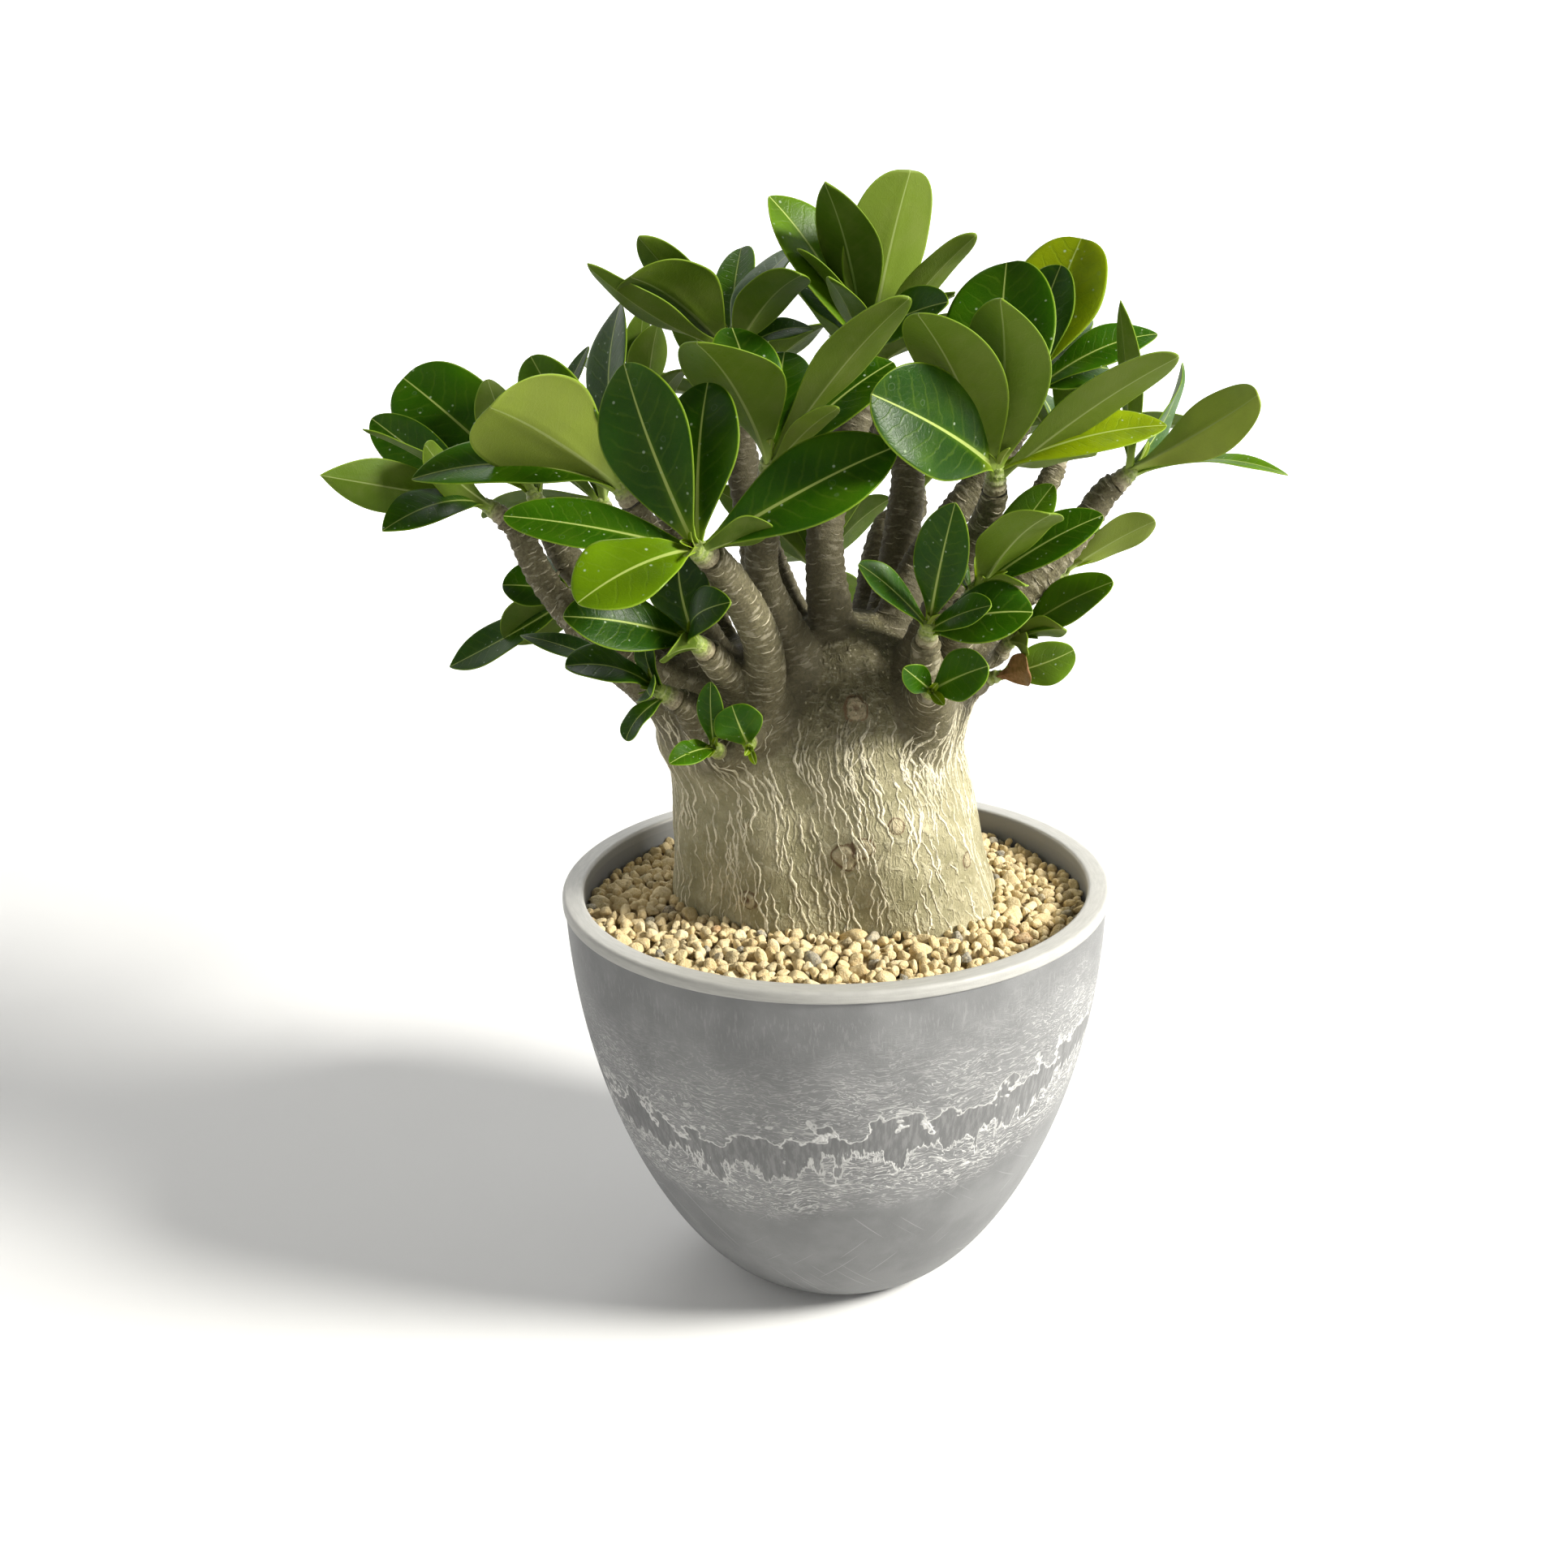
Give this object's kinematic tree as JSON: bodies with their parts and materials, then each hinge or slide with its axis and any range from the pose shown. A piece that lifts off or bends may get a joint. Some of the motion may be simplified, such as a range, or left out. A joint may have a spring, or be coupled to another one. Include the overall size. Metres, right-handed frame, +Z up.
{
  "type": "potted desert rose adenium",
  "caption": "Potted desert rose: swollen grey-green caudex with fat ringed branches and rosettes of glossy leaves, in a round tapered grey pot topped with pumice grains.",
  "frame": {"origin": "middle of the pot's flat foot, on the surface that it stands on", "axes": "+Z up along the pot's axis; -Y towards the front, the side that the picture shows; +X to the viewer's right"},
  "size_m": [0.2432, 0.1808, 0.3009],
  "materials": {
    "pot": "matt grey with a cast-stone look",
    "grains": "rough cream and tan pumice",
    "bark": "smooth grey-green succulent bark with pale veins and leaf scars",
    "leaf": "glossy green above, matt olive below"
  },
  "bodies": {
    "root": {"pot": "pot", "soil_and_grains": "grains", "caudex_and_branches": "bark", "rosette_front_left": "leaf", "rosette_low_left": "leaf", "rosette_side_left": "leaf", "rosette_back_left_low": "leaf", "rosette_far_left": "leaf", "rosette_left_mid": "leaf", "rosette_left_top": "leaf", "rosette_inner_left": "leaf", "rosette_top_left": "leaf", "rosette_middle": "leaf", "rosette_top": "leaf", "rosette_right_top": "leaf", "rosette_right": "leaf", "rosette_far_right": "leaf", "rosette_right_bud": "leaf", "rosette_right_mid": "leaf", "rosette_right_low": "leaf", "rosette_right_twig": "leaf", "rosette_front_right": "leaf", "rosette_trunk_right": "leaf", "rosette_trunk_left": "leaf", "rosette_trunk_leaf": "leaf", "rosette_rear_left": "leaf", "rosette_rear_mid_left": "leaf", "rosette_rear_mid": "leaf", "rosette_rear_right": "leaf", "rosette_rear_low": "leaf", "rosette_rear_high": "leaf"}
  },
  "joints": []
}
